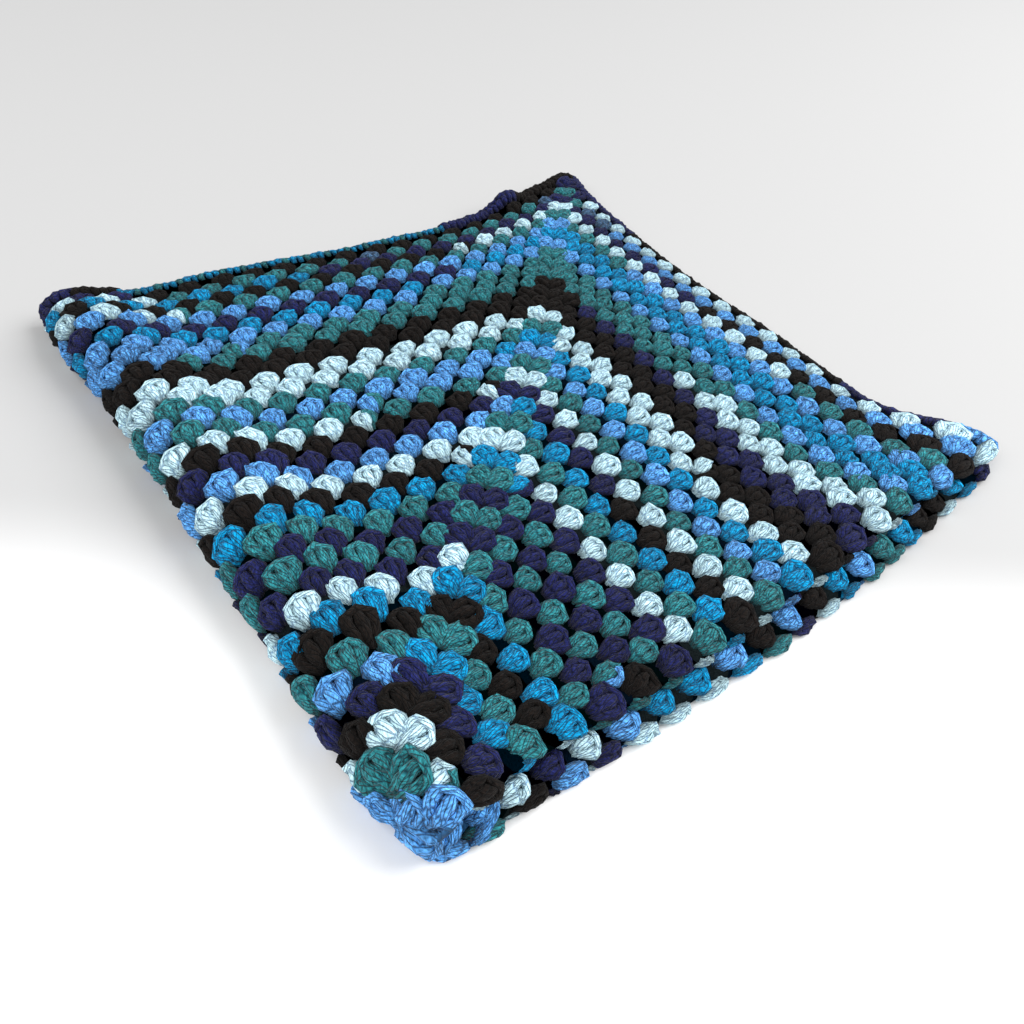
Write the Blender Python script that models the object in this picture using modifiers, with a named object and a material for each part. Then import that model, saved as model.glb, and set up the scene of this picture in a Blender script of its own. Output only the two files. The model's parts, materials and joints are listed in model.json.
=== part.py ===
"""Granny square blanket, crocheted in one piece and folded in quarters.

A flat slab stands for the crochet. It is folded once along X, so that its two
halves lie on each other, and then the pair is rolled over along Y. The four
layers are eased into the uneven square in which the blanket lies.
"""

import math

import bmesh
import bpy
from mathutils import Matrix, Vector

# The crochet, flat (metres)
ROUND_COUNT = 39            # rounds of clusters, from the centre to the edge
ROUND_HEIGHT = 0.013
EDGING_WIDTH = 0.005        # dark single crochet round
HALF_SIDE = ROUND_COUNT * ROUND_HEIGHT + EDGING_WIDTH
CLOTH_THICKNESS = 0.0048

# The two folds, as radii to the middle of what is bent
PAIR_RADIUS = 0.0037        # first fold, along X: half the spacing of two layers
ROLL_RADIUS = 0.0146        # second fold, along Y: from the roll's axis to the pair
OUTER_RADIUS = ROLL_RADIUS + PAIR_RADIUS
INNER_GAP = ROLL_RADIUS - PAIR_RADIUS - CLOTH_THICKNESS / 2   # half the roll's hollow
RESTING_GAP = 0.0010        # half of what is left of that gap away from the roll
CLOSING_START = 0.018       # where the roll's hollow starts to close
CLOSING_LENGTH = 0.050

# Height of the stack, as a share of its unpressed height
LOFT_MIDDLE = 0.72
LOFT_ROLL = 1.02            # along the second fold
LOFT_RIDGE = 1.00           # along the first fold
LOFT_CENTRE = 1.16          # where both folds meet
ROLL_REACH = 0.060
RIDGE_REACH = 0.045
CENTRE_REACH = 0.070
EDGE_BAND = 0.072           # outer band in which the free edges sink
RIGHT_SINK = 0.45
BACK_SINK = 0.32

# How far the lower and the inner layers end short of the top one
TUCK_BOTTOM_RIGHT = 0.014
TUCK_INNER_RIGHT = 0.014
TUCK_BOTTOM_BACK = 0.006
TUCK_INNER_BACK = 0.008
TUCK_FADE = 0.080
OVERHANG_DROP = 0.0060      # the top layer's right edge hangs over the others

# Outline: how far its edges stand out from the neat square
BACK_EDGE = [               # along the free edges at the back
    {"x": 0.000, "out": -0.010},
    {"x": 0.030, "out": -0.020},
    {"x": 0.110, "out": -0.019},
    {"x": 0.200, "out": -0.032},
    {"x": 0.330, "out": -0.044},
    {"x": 0.400, "out": -0.036},
    {"x": 0.445, "out": -0.026},
    {"x": 0.512, "out": -0.018},
]
RIGHT_EDGE = [              # along the free edges on the right
    {"y": 0.000, "out": 0.000},
    {"y": 0.110, "out": 0.014},
    {"y": 0.170, "out": 0.015},
    {"y": 0.280, "out": 0.005},
    {"y": 0.390, "out": 0.009},
    {"y": 0.512, "out": 0.020},
]
ROLL_EDGE = [               # along the second fold
    {"y": 0.000, "out": 0.006},
    {"y": 0.200, "out": 0.005},
    {"y": 0.360, "out": 0.008},
    {"y": 0.450, "out": 0.015},
    {"y": 0.512, "out": 0.012},
]
LOWER_RIDGE = [             # the lower pair's fold, in front of the upper one
    {"x": 0.000, "out": 0.000},
    {"x": 0.100, "out": 0.010},
    {"x": 0.200, "out": 0.018},
    {"x": 0.300, "out": 0.021},
    {"x": 0.400, "out": 0.018},
    {"x": 0.512, "out": 0.010},
]
RIDGE_OUT = 0.009           # both pairs' folds stand out in front
RIDGE_STRETCH = 0.055       # the first fold is longer than the rows beside it
ROLL_STRETCH = 0.005
RIGHT_BELLY = 0.016
ROW_BUNCHING = 0.025        # rows lie closer together towards the back edge
RIGHT_CORNER_PULL = 0.036
LEFT_CORNER_TUCK = 0.008
CENTRE_TUCK = 0.008         # the corner where both folds meet is blunt
CENTRE_TUCK_REACH = 0.022
CORNER_REACH = 0.048
ROLL_LEAN = 0.010           # the roll's foot stands outside its crest
LEAN_REACH = 0.050

# Soft humps: centre x, centre y, height as a share of the stack, reach
HUMPS = [
    {"x": 0.432, "y": 0.488, "height": 1.10, "reach": 0.024},
    {"x": 0.518, "y": 0.496, "height": 1.10, "reach": 0.027},
    {"x": 0.130, "y": 0.100, "height": 0.14, "reach": 0.085},
    {"x": 0.300, "y": 0.230, "height": 0.10, "reach": 0.110},
    {"x": 0.060, "y": 0.330, "height": 0.16, "reach": 0.060},
    {"x": 0.540, "y": 0.040, "height": 0.22, "reach": 0.045},
]
WAVE_HEIGHT = 0.035         # share of the stack's height
WAVE_LENGTH_X = 0.170
WAVE_LENGTH_Y = 0.210

# Mesh lines: distance from the centre line, and cells up to there
LINES_ACROSS_ROLL = [
    {"to": 0.0300, "cells": 6},
    {"to": 0.0900, "cells": 3},
    {"to": HALF_SIDE - 0.0700, "cells": 8},
    {"to": HALF_SIDE - TUCK_INNER_RIGHT, "cells": 3},
    {"to": HALF_SIDE, "cells": 2},
]
LINES_ACROSS_RIDGE = [
    {"to": math.pi / 2 * PAIR_RADIUS, "cells": 4},
    {"to": 0.0250, "cells": 1},
    {"to": 0.0900, "cells": 3},
    {"to": HALF_SIDE - 0.0700, "cells": 8},
    {"to": HALF_SIDE, "cells": 4},
]

YARN_COLOUR = (0.045, 0.150, 0.270, 1.0)
YARN_ROUGHNESS = 0.92


def ease(value):
    """Smooth step from 0 to 1."""
    value = min(max(value, 0.0), 1.0)
    return value * value * (3 - 2 * value)


def bell(distance, reach):
    """1 at no distance, falling smoothly to 0 past the reach."""
    return math.exp(-(distance / reach) ** 2)


def mirrored_lines(table):
    """Positions of the mesh lines, the same on both sides of the centre line."""
    lines = [0.0]
    for row in table:
        start = lines[-1]
        step = (row["to"] - start) / row["cells"]
        lines += [start + step * (cell + 1) for cell in range(row["cells"])]
    return [-line for line in reversed(lines[1:])] + lines


def first_fold(across, outward):
    """Turn the sheet about the X line.

    Returns y, the height in the pair, and the height of the cloth's middle there.
    """
    arc = math.pi / 2 * PAIR_RADIUS
    angle = min(max(across, -arc), arc) / PAIR_RADIUS
    radius = PAIR_RADIUS + outward
    straight = max(abs(across) - arc, 0.0)
    y = PAIR_RADIUS - radius * math.cos(angle) + straight
    return y, radius * math.sin(angle), PAIR_RADIUS * math.sin(angle)


def second_fold(along, height, layer_height, right_tuck):
    """Roll the pair about the Y line: returns x and the height in the stack."""
    bend = ROLL_RADIUS + layer_height
    arc = math.pi / 2 * bend
    angle = min(max(along, -arc), arc) / bend
    radius = ROLL_RADIUS + height
    flat_length = HALF_SIDE - arc
    shown_length = HALF_SIDE - math.pi / 2 * OUTER_RADIUS - right_tuck
    straight = max(abs(along) - arc, 0.0) * shown_length / flat_length
    x = OUTER_RADIUS - radius * math.cos(angle) + straight
    return x, radius * math.sin(angle)


def stack_loft(x, y):
    """Share of its unpressed height that the stack has at a place."""
    at_roll = LOFT_MIDDLE + (LOFT_ROLL - LOFT_MIDDLE) * bell(max(x, 0.0), ROLL_REACH)
    at_ridge = LOFT_MIDDLE + (LOFT_RIDGE - LOFT_MIDDLE) * bell(max(y, 0.0), RIDGE_REACH)
    loft = max(at_roll, at_ridge)
    loft += (LOFT_CENTRE - LOFT_ROLL) * bell(math.hypot(x, y), CENTRE_REACH)
    loft *= 1 - RIGHT_SINK * ease((x - HALF_SIDE + EDGE_BAND) / EDGE_BAND)
    loft *= 1 - BACK_SINK * ease((y - HALF_SIDE + EDGE_BAND) / EDGE_BAND)
    wave_x = math.sin(2 * math.pi * x / WAVE_LENGTH_X + 0.6)
    wave_y = math.sin(2 * math.pi * y / WAVE_LENGTH_Y + 1.1)
    return loft * (1 + WAVE_HEIGHT * wave_x * wave_y)


def hump_share(x, y):
    """How much the soft humps raise the stack at a place in the outline."""
    return sum(hump["height"] * bell(math.hypot(x - hump["x"], y - hump["y"]), hump["reach"])
               for hump in HUMPS)


def along_edge(table, key, place):
    """Reads an edge table at a place, on a smooth curve through its rows."""
    last = len(table) - 1
    row = 0
    while row < last - 1 and place > table[row + 1][key]:
        row += 1
    start, end = table[row], table[row + 1]
    before, after = table[max(row - 1, 0)], table[min(row + 2, last)]
    span = end[key] - start[key]
    share = min(max((place - start[key]) / span, 0.0), 1.0)
    start_slope = (end["out"] - before["out"]) / (end[key] - before[key]) * span
    end_slope = (after["out"] - start["out"]) / (after[key] - start[key]) * span
    square, cube = share ** 2, share ** 3
    return ((2 * cube - 3 * square + 1) * start["out"] + (3 * square - 2 * cube) * end["out"]
            + (cube - 2 * square + share) * start_slope + (cube - square) * end_slope)


def ease_outline(x, y, level):
    """Pull the neat square into the outline in which the blanket lies.

    level runs from -1 at the bottom layer to 1 at the top one.
    """
    a = min(max(x / HALF_SIDE, 0.0), 1.0)
    b = min(max(y / HALF_SIDE, 0.0), 1.0)
    middle_a = 4 * a * (1 - a)
    middle_b = 4 * b * (1 - b)
    low = (1 - level) / 2
    new_x = x + x * RIDGE_STRETCH * bell(y, CENTRE_REACH)
    new_x += a * along_edge(RIGHT_EDGE, "y", y) + RIGHT_BELLY * middle_a * middle_b
    new_x += RIGHT_CORNER_PULL * bell(math.hypot(HALF_SIDE - x, y), CORNER_REACH)
    new_x -= (1 - a) ** 3 * along_edge(ROLL_EDGE, "y", y)
    new_x -= ROLL_LEAN * low * bell(max(x, 0.0), LEAN_REACH)
    blunt = CENTRE_TUCK * bell(math.hypot(x, y), CENTRE_TUCK_REACH)
    new_x += blunt
    new_y = y + b * along_edge(BACK_EDGE, "x", x) + ROW_BUNCHING * middle_b
    new_y += ROLL_STRETCH * ease(y / TUCK_FADE) * bell(max(x, 0.0), ROLL_REACH)
    new_y -= LEFT_CORNER_TUCK * bell(math.hypot(x, HALF_SIDE - y), CORNER_REACH)
    new_y -= RIDGE_OUT * (1 - b) - blunt / 2
    new_y -= along_edge(LOWER_RIDGE, "x", x) * low * (1 - b) ** 2
    return new_x, new_y


def folded_place(along, across, outward):
    """Where a point of the flat slab lies once the blanket is folded.

    along and across are measured from the centre of the granny square, and
    outward from the middle of the cloth towards its right side.
    """
    fade_across = ease(abs(across) / TUCK_FADE)
    fade_along = ease(abs(along) / TUCK_FADE)
    right_tuck = TUCK_BOTTOM_RIGHT * (along < 0) + TUCK_INNER_RIGHT * (across < 0) * fade_across
    back_tuck = TUCK_INNER_BACK * (across < 0) + TUCK_BOTTOM_BACK * (along < 0) * fade_along

    y, height, layer_height = first_fold(across, outward)
    x, height = second_fold(along, height, layer_height, right_tuck)
    y -= back_tuck * max(y, 0.0) / HALF_SIDE
    level = min(max(height / OUTER_RADIUS, -1.0), 1.0)

    closing = (INNER_GAP - RESTING_GAP) * ease((x - CLOSING_START) / CLOSING_LENGTH)
    if abs(height) < INNER_GAP:
        height *= 1 - closing / INNER_GAP
    else:
        height -= math.copysign(closing, height)
    above_floor = height + OUTER_RADIUS + CLOTH_THICKNESS / 2 - closing

    new_x, new_y = ease_outline(x, y, level)
    z = above_floor * stack_loft(x, y) * (1 + hump_share(new_x, new_y))
    if along > 0 and across > 0:
        hanging = (along - HALF_SIDE + TUCK_INNER_RIGHT) / TUCK_INNER_RIGHT
        z -= OVERHANG_DROP * ease(hanging) * fade_across
    return new_x, new_y, z


def yarn_material():
    material = bpy.data.materials.new("yarn")
    material.use_nodes = True
    shader = material.node_tree.nodes["Principled BSDF"]
    shader.inputs["Base Color"].default_value = YARN_COLOUR
    shader.inputs["Roughness"].default_value = YARN_ROUGHNESS
    shader.inputs["Metallic"].default_value = 0.0
    return material


def flat_slab():
    """The crochet laid flat: a grid of uneven cells, given its thickness."""
    along_lines = mirrored_lines(LINES_ACROSS_ROLL)
    across_lines = mirrored_lines(LINES_ACROSS_RIDGE)
    cells_along = len(along_lines) - 1
    cells_across = len(across_lines) - 1
    mesh = bpy.data.meshes.new("flat_slab")
    grid = bmesh.new()
    bmesh.ops.create_grid(grid, x_segments=cells_along, y_segments=cells_across, size=1.0)
    for vertex in grid.verts:
        column = round((vertex.co.x + 1) / 2 * cells_along)
        row = round((vertex.co.y + 1) / 2 * cells_across)
        vertex.co.x = along_lines[column]
        vertex.co.y = across_lines[row]
    grid.to_mesh(mesh)
    grid.free()

    slab = bpy.data.objects.new("flat_slab", mesh)
    bpy.context.scene.collection.objects.link(slab)
    thickness = slab.modifiers.new("thickness", "SOLIDIFY")
    thickness.thickness = CLOTH_THICKNESS
    thickness.offset = 0.0
    evaluated = slab.evaluated_get(bpy.context.evaluated_depsgraph_get())
    solid_mesh = bpy.data.meshes.new_from_object(evaluated)
    bpy.data.objects.remove(slab)
    return solid_mesh


def stand_on_origin(mesh):
    """Move the mesh so that its box stands centred on the origin."""
    xs = [vertex.co.x for vertex in mesh.vertices]
    ys = [vertex.co.y for vertex in mesh.vertices]
    zs = [vertex.co.z for vertex in mesh.vertices]
    foot = Vector(((min(xs) + max(xs)) / 2, (min(ys) + max(ys)) / 2, min(zs)))
    mesh.transform(Matrix.Translation(-foot))


def blanket(collection):
    mesh = flat_slab()
    mesh.name = "blanket"
    for vertex in mesh.vertices:
        vertex.co = folded_place(*vertex.co)
    stand_on_origin(mesh)
    mesh.materials.clear()
    mesh.materials.append(yarn_material())
    mesh.shade_smooth()
    cloth = bpy.data.objects.new("blanket", mesh)
    collection.objects.link(cloth)


def main():
    for old in list(bpy.data.objects):
        bpy.data.objects.remove(old)
    collection = bpy.data.collections.new("granny_square_blanket")
    bpy.context.scene.collection.children.link(collection)
    blanket(collection)


main()
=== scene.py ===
# Granny square blanket, folded in quarters.
# The crochet is laid out flat, stitch by stitch, and then folded as the cloth is.
# All lengths are in metres.
import json
import math
import random

import bmesh
import bpy
import numpy as np
from mathutils import Matrix, Vector

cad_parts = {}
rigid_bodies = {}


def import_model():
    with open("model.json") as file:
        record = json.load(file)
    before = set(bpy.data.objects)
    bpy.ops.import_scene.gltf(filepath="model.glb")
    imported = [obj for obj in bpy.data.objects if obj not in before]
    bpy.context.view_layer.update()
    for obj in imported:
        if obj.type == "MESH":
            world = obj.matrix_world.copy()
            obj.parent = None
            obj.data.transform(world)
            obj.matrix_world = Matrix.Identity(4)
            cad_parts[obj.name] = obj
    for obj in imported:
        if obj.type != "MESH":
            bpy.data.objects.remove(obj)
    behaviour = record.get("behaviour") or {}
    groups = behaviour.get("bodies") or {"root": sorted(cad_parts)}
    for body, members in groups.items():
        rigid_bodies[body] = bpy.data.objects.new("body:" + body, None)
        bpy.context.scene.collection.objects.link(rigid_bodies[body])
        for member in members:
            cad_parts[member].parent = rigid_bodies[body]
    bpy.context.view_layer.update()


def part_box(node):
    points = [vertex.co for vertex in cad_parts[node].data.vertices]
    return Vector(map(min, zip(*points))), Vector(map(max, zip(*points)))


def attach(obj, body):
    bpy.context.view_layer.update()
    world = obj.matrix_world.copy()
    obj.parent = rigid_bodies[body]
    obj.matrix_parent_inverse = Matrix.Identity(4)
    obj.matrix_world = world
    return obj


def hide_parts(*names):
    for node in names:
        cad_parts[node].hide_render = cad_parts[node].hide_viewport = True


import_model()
print("frame loaded")


def linkObject(name, data):
    made = bpy.data.objects.new(name, data)
    bpy.context.scene.collection.objects.link(made)
    return made


def plainMesh(source):
    # the evaluated object as a plain mesh; the object itself is removed
    bpy.context.view_layer.update()
    evaluated = source.evaluated_get(bpy.context.evaluated_depsgraph_get())
    mesh = bpy.data.meshes.new_from_object(evaluated)
    bpy.data.objects.remove(source)
    return mesh


def readVectors(rows, field):
    values = np.empty(len(rows) * 3, dtype=np.float32)
    rows.foreach_get(field, values)
    return values.reshape(len(rows), 3).astype(float)


def feedNode(tree, node, inputs):
    # each input takes a value or another node's output
    for name, value in inputs.items():
        if isinstance(value, bpy.types.NodeSocket):
            tree.links.new(value, node.inputs[name])
        else:
            node.inputs[name].default_value = value


def addNode(tree, kind, settings=None, inputs=None):
    node = tree.nodes.new(kind)
    for name, value in (settings or {}).items():
        setattr(node, name, value)
    feedNode(tree, node, inputs or {})
    return node


def addMath(tree, operation, *values):
    inputs = dict(enumerate(values))
    return addNode(tree, "ShaderNodeMath", {"operation": operation}, inputs).outputs[0]


def mixColours(tree, blend, first, second, factor=1.0):
    settings = {"data_type": "RGBA", "blend_type": blend}
    return addNode(tree, "ShaderNodeMix", settings, {0: factor, 6: first, 7: second}).outputs[2]


def addBump(tree, height, look):
    inputs = {"Height": height, "Strength": look["bumpStrength"], "Distance": look["bumpDistance"]}
    return addNode(tree, "ShaderNodeBump", inputs=inputs).outputs["Normal"]


def startMaterial(name):
    material = bpy.data.materials.new(name)
    material.use_nodes = True
    return material, material.node_tree, material.node_tree.nodes["Principled BSDF"]


def toLinear(colour):
    # from a colour as seen on a screen to the light it stands for
    return tuple(part / 12.92 if part <= 0.04045 else ((part + 0.055) / 1.055) ** 2.4
                 for part in colour)


# the folded cloth
crochet = {
    "rounds": 39,            # rounds of clusters from the centre to the edge
    "roundHeight": 0.013,
    "edging": 0.005,         # width of the single crochet round
    "thickness": 0.0048,
}
halfSide = crochet["rounds"] * crochet["roundHeight"] + crochet["edging"]

fold = {
    "pairRadius": 0.0037,    # first fold: half the spacing of two layers
    "rollRadius": 0.0146,    # second fold: from the roll's axis to the pair
    "restingGap": 0.0010,    # left between the two pairs where they lie flat
    "closingStart": 0.018,   # where the roll's hollow starts to close
    "closingLength": 0.050,
    "tuckBottomRight": 0.014,
    "tuckInnerRight": 0.014,
    "tuckBottomBack": 0.006,
    "tuckInnerBack": 0.008,
    "tuckFade": 0.080,
    "overhangDrop": 0.0060,
}
fold["outerRadius"] = fold["rollRadius"] + fold["pairRadius"]
fold["innerGap"] = fold["rollRadius"] - fold["pairRadius"] - crochet["thickness"] / 2

loft = {                     # shares of the stack's unpressed height
    "middle": 0.72,
    "roll": 1.02,
    "ridge": 1.00,
    "centre": 1.16,
    "rollReach": 0.060,
    "ridgeReach": 0.045,
    "centreReach": 0.070,
    "edgeBand": 0.072,       # outer band in which the free edges sink
    "rightSink": 0.45,
    "backSink": 0.32,
    "wave": 0.035,           # soft unevenness all over
    "waveX": 0.170,
    "waveY": 0.210,
    "waveStartX": 0.6,       # radians
    "waveStartY": 1.1,
}

outline = {                  # tables: (place along the edge, how far it stands out)
    "back": [(0.000, -0.010), (0.030, -0.020), (0.110, -0.019), (0.200, -0.032),
             (0.330, -0.044), (0.400, -0.036), (0.445, -0.026), (0.512, -0.018)],
    "right": [(0.000, 0.000), (0.110, 0.014), (0.170, 0.015), (0.280, 0.005),
              (0.390, 0.009), (0.512, 0.020)],
    "roll": [(0.000, 0.006), (0.200, 0.005), (0.360, 0.008), (0.450, 0.015), (0.512, 0.012)],
    "lowerRidge": [(0.000, 0.000), (0.100, 0.010), (0.200, 0.018), (0.300, 0.021),
                   (0.400, 0.018), (0.512, 0.010)],
    "upperRidge": [(0.000, 0.000), (0.040, 0.006), (0.070, 0.009), (0.100, 0.007),
                   (0.140, 0.003), (0.200, 0.000), (0.512, 0.000)],
    "upperReach": 0.016,
    "ridgeOut": 0.009,
    "ridgeStretch": 0.055,
    "rollStretch": 0.005,
    "rightBelly": 0.016,
    "rowBunching": 0.025,
    "rightCornerPull": 0.036,
    "leftCornerTuck": 0.008,
    "centreTuck": 0.008,
    "centreTuckReach": 0.022,
    "cornerReach": 0.048,
    "rollLean": 0.010,
    "leanReach": 0.050,
}

humps = [                    # centre x, centre y, share of the stack's height, reach
    (0.412, 0.482, 1.30, 0.018),
    (0.516, 0.492, 1.15, 0.028),
    (0.130, 0.100, 0.14, 0.085),
    (0.300, 0.230, 0.10, 0.110),
    (0.060, 0.330, 0.16, 0.060),
    (0.540, 0.040, 0.22, 0.045),
]


def ease(value):
    value = np.clip(value, 0.0, 1.0)
    return value * value * (3 - 2 * value)


def bell(distance, reach):
    return np.exp(-(distance / reach) ** 2)


def readEdge(table, place):
    # a smooth curve through the table's rows
    at, out = np.array(table).T
    last = len(at) - 1
    nodes = np.arange(last + 1)
    before, after = np.maximum(nodes - 1, 0), np.minimum(nodes + 1, last)
    slopes = (out[after] - out[before]) / (at[after] - at[before])
    row = np.clip(np.searchsorted(at, place) - 1, 0, last - 1)
    span = at[row + 1] - at[row]
    share = np.clip((place - at[row]) / span, 0.0, 1.0)
    square, cube = share ** 2, share ** 3
    return ((2 * cube - 3 * square + 1) * out[row] + (3 * square - 2 * cube) * out[row + 1]
            + (cube - 2 * square + share) * slopes[row] * span
            + (cube - square) * slopes[row + 1] * span)


def stackLoft(x, y):
    height = loft["middle"]
    atRoll = height + (loft["roll"] - height) * bell(np.maximum(x, 0), loft["rollReach"])
    atRidge = height + (loft["ridge"] - height) * bell(np.maximum(y, 0), loft["ridgeReach"])
    share = np.maximum(atRoll, atRidge)
    share += (loft["centre"] - loft["roll"]) * bell(np.hypot(x, y), loft["centreReach"])
    band = loft["edgeBand"]
    share *= 1 - loft["rightSink"] * ease((x - halfSide + band) / band)
    share *= 1 - loft["backSink"] * ease((y - halfSide + band) / band)
    waveX = np.sin(2 * math.pi * x / loft["waveX"] + loft["waveStartX"])
    waveY = np.sin(2 * math.pi * y / loft["waveY"] + loft["waveStartY"])
    return share * (1 + loft["wave"] * waveX * waveY)


def easeOutline(x, y, level):
    a = np.clip(x / halfSide, 0, 1)
    b = np.clip(y / halfSide, 0, 1)
    middleA, middleB = 4 * a * (1 - a), 4 * b * (1 - b)
    low = (1 - level) / 2
    blunt = outline["centreTuck"] * bell(np.hypot(x, y), outline["centreTuckReach"])
    newX = x + x * outline["ridgeStretch"] * bell(y, loft["centreReach"])
    newX += a * readEdge(outline["right"], y) + outline["rightBelly"] * middleA * middleB
    newX += outline["rightCornerPull"] * bell(np.hypot(halfSide - x, y), outline["cornerReach"])
    newX -= (1 - a) ** 3 * readEdge(outline["roll"], y)
    newX -= outline["rollLean"] * low * bell(np.maximum(x, 0), outline["leanReach"])
    newX += blunt
    newY = y + b * readEdge(outline["back"], x) + outline["rowBunching"] * middleB
    newY += (outline["rollStretch"] * ease(y / fold["tuckFade"])
             * bell(np.maximum(x, 0), loft["rollReach"]))
    newY -= outline["leftCornerTuck"] * bell(np.hypot(x, halfSide - y), outline["cornerReach"])
    newY -= outline["ridgeOut"] * (1 - b) - blunt / 2
    newY -= readEdge(outline["lowerRidge"], x) * low * (1 - b) ** 2
    newY += readEdge(outline["upperRidge"], x) * (1 - low) * bell(y, outline["upperReach"])
    return newX, newY


slide = {                    # how far the cloth crept over its folds when it was put down
    "overRoll": 0.011,
    "rollReach": 0.055,
    "rollFrom": 0.050,       # fades in this far from the centre
    "overRidge": 0.007,
    "ridgeRetreat": 0.4,     # share of the upper ridge's retreat that its clusters follow
    "lowerRidge": 0.0050,    # the lower pair's clusters gather on its ridge
    "lowerEdge": 0.0040,     # and those at its foot creep up
    "lowerFrom": 0.030,
    "noseFrom": 0.120,       # farther out the line of the fold follows them in part
    "noseShare": 0.4,
    "footFrom": 0.003,
    "footReach": 0.010,
    "ridgeReach": 0.036,
    "centre": 0.017,
    "centreAlong": 0.004,
    "centreReach": 0.090,
    "rightLag": 0.008,       # rounds on the right lie a little closer to the centre
    "lagReach": 0.200,
    "ridgeAlong": 0.021,     # and are pulled out again towards the right corner
    "ridgeAlongAt": 0.417,
    "ridgeAlongReach": 0.118,
    "leftLag": 0.008,
    "leftLagAt": 0.190,
    "leftLagReach": 0.110,
    "bow": 0.0095,           # rows bow towards the back beside the roll
    "bowAt": 0.044,
    "bowReach": 0.030,
    "bowFrom": 0.060,
    "bowTo": 0.360,
    "edgeFade": 0.100,
    "insideFrom": 0.040,     # inside the first fold the cloth stayed in place
    "insideFade": 0.030,
    "insideReach": 0.012,
    "insidePull": 0.0115,    # on the lower pair it lies nearer to the centre
    "insidePullTo": 0.260,
    "footPull": 0.35,        # share of that pull at the lower ridge's foot
    "diagonalAlong": 0.012,  # beside the diagonal the rounds bow towards the right
    "diagonalAcross": -0.005,
    "diagonalAt": 0.300,
    "diagonalReach": 0.135,
}


def slideCloth(along, across):
    nearBack = ease((halfSide - across) / slide["edgeFade"])
    nearRight = ease((halfSide - along) / slide["edgeFade"])
    overRidge = bell(across, slide["ridgeReach"])
    inside = ease(-across / slide["insideReach"])
    inside *= ease((np.abs(along) - slide["insideFrom"]) / slide["insideFade"])
    below = ease((-along - slide["lowerFrom"]) / slide["lowerFrom"])
    nearCentre = bell(np.hypot(along, across), slide["centreReach"])
    nearCentre *= (1 - inside) * (1 - below)
    pulled = below * ease((along + slide["insidePullTo"]) / (slide["insidePullTo"] / 2))
    bow = ease((across - slide["bowFrom"]) / slide["bowFrom"])
    bow *= ease((slide["bowTo"] - across) / (slide["bowTo"] / 2))
    newAlong = along - slide["centreAlong"] * nearCentre
    newAlong += (slide["overRoll"] * bell(along, slide["rollReach"]) * nearBack
                 * ease((across - slide["rollFrom"]) / (2 * slide["rollFrom"])))
    newAlong -= slide["rightLag"] * ease(along / slide["lagReach"]) * nearRight
    newAlong += (slide["ridgeAlong"] * overRidge * nearRight
                 * bell(along - slide["ridgeAlongAt"], slide["ridgeAlongReach"]))
    newAlong += slide["leftLag"] * bell(along + slide["leftLagAt"], slide["leftLagReach"])
    atFoot = ease((across - slide["footFrom"]) / slide["footReach"])
    newAlong += slide["insidePull"] * pulled * (1 - (1 - slide["footPull"]) * atFoot)
    newAcross = across + slide["centre"] * nearCentre
    newAcross += slide["overRidge"] * overRidge * ease(along / slide["rollFrom"]) * nearRight
    onTop = ease(-across / slide["insideReach"])
    onTop += ((1 - onTop) * slide["noseShare"]
              * ease((-along - slide["noseFrom"]) / (slide["noseFrom"] / 2)))
    newAcross += (slide["lowerRidge"] * onTop - slide["lowerEdge"] * atFoot) * overRidge * below
    retreat = readEdge(outline["upperRidge"], np.maximum(along, 0))
    newAcross -= slide["ridgeRetreat"] * retreat * overRidge
    diagonal = bell(np.hypot(along - slide["diagonalAt"], across - slide["diagonalAt"]),
                    slide["diagonalReach"])
    newAlong += slide["diagonalAlong"] * diagonal
    newAcross += slide["diagonalAcross"] * diagonal
    newAcross += slide["bow"] * bell(along - slide["bowAt"], slide["bowReach"]) * bow
    return newAlong, newAcross


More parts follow.
